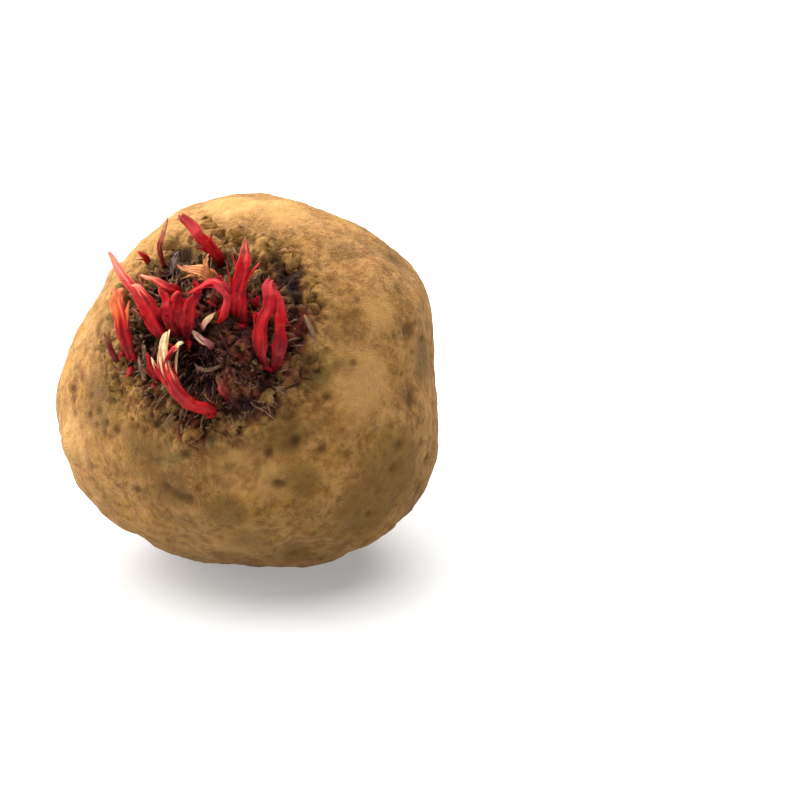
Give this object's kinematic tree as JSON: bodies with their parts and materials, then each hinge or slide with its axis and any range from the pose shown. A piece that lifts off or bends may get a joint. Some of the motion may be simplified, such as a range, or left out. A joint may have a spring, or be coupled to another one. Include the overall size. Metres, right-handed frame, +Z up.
{
  "type": "beetroot",
  "caption": "Whole stored beetroot lying on its side, with a lumpy tan skin, a rough crown of red new shoots and a thin tap root.",
  "frame": {"origin": "on the flat spot it rests on, straight below the root's middle", "axes": "+Z up from the flat spot, -Y towards the crown's side, +X to the right as the crown is faced"},
  "size_m": [0.09, 0.1094, 0.0915],
  "materials": {
    "root_skin": "dry, dusty matt skin",
    "red_shoot": "moist satin leaf stalk",
    "dark_shoot": "withered satin leaf stalk",
    "pale_sliver": "dry pale leaf stalk",
    "dry_leaf": "dry papery leaf",
    "dry_stub": "dry fibrous leaf base"
  },
  "bodies": {
    "root": {"root": "root_skin", "shoot_top": "red_shoot", "shoot_left_long": "red_shoot", "shoot_left_fork": "red_shoot", "shoot_across": "red_shoot", "shoot_left_low": "red_shoot", "shoot_left_thin": "dark_shoot", "shoot_right_tall": "red_shoot", "shoot_right_folded": "red_shoot", "shoot_low_curl": "red_shoot", "shoot_low_thin": "red_shoot", "shoot_centre": "red_shoot", "shoot_arch": "red_shoot", "shoot_under_arch": "dark_shoot", "bud_top_left": "red_shoot", "bud_right": "red_shoot", "bud_dark": "dark_shoot", "pale_sliver_upper": "pale_sliver", "pale_sliver_lower": "pale_sliver", "dry_leaf": "dry_leaf", "dry_stalk_top": "dark_shoot", "dry_sheath_grey": "dry_stub", "dry_fibre_left_1": "dry_stub", "dry_fibre_left_2": "dry_stub", "dry_fibre_middle": "dry_stub", "dry_fibre_right": "dry_stub", "old_leaf_stub_01": "dry_stub", "old_leaf_stub_02": "dry_stub", "old_leaf_stub_03": "dry_stub", "old_leaf_stub_04": "dry_stub", "old_leaf_stub_05": "dry_stub", "old_leaf_stub_06": "dry_stub", "old_leaf_stub_07": "dry_stub", "old_leaf_stub_08": "dry_stub", "old_leaf_stub_09": "dry_stub", "old_leaf_stub_10": "dry_stub", "old_leaf_stub_11": "dry_stub", "old_leaf_stub_12": "dry_stub", "old_leaf_stub_13": "dry_stub", "old_leaf_stub_14": "dry_stub", "old_leaf_stub_15": "dry_stub", "old_leaf_stub_16": "dry_stub", "old_leaf_stub_17": "dry_stub"}
  },
  "joints": []
}
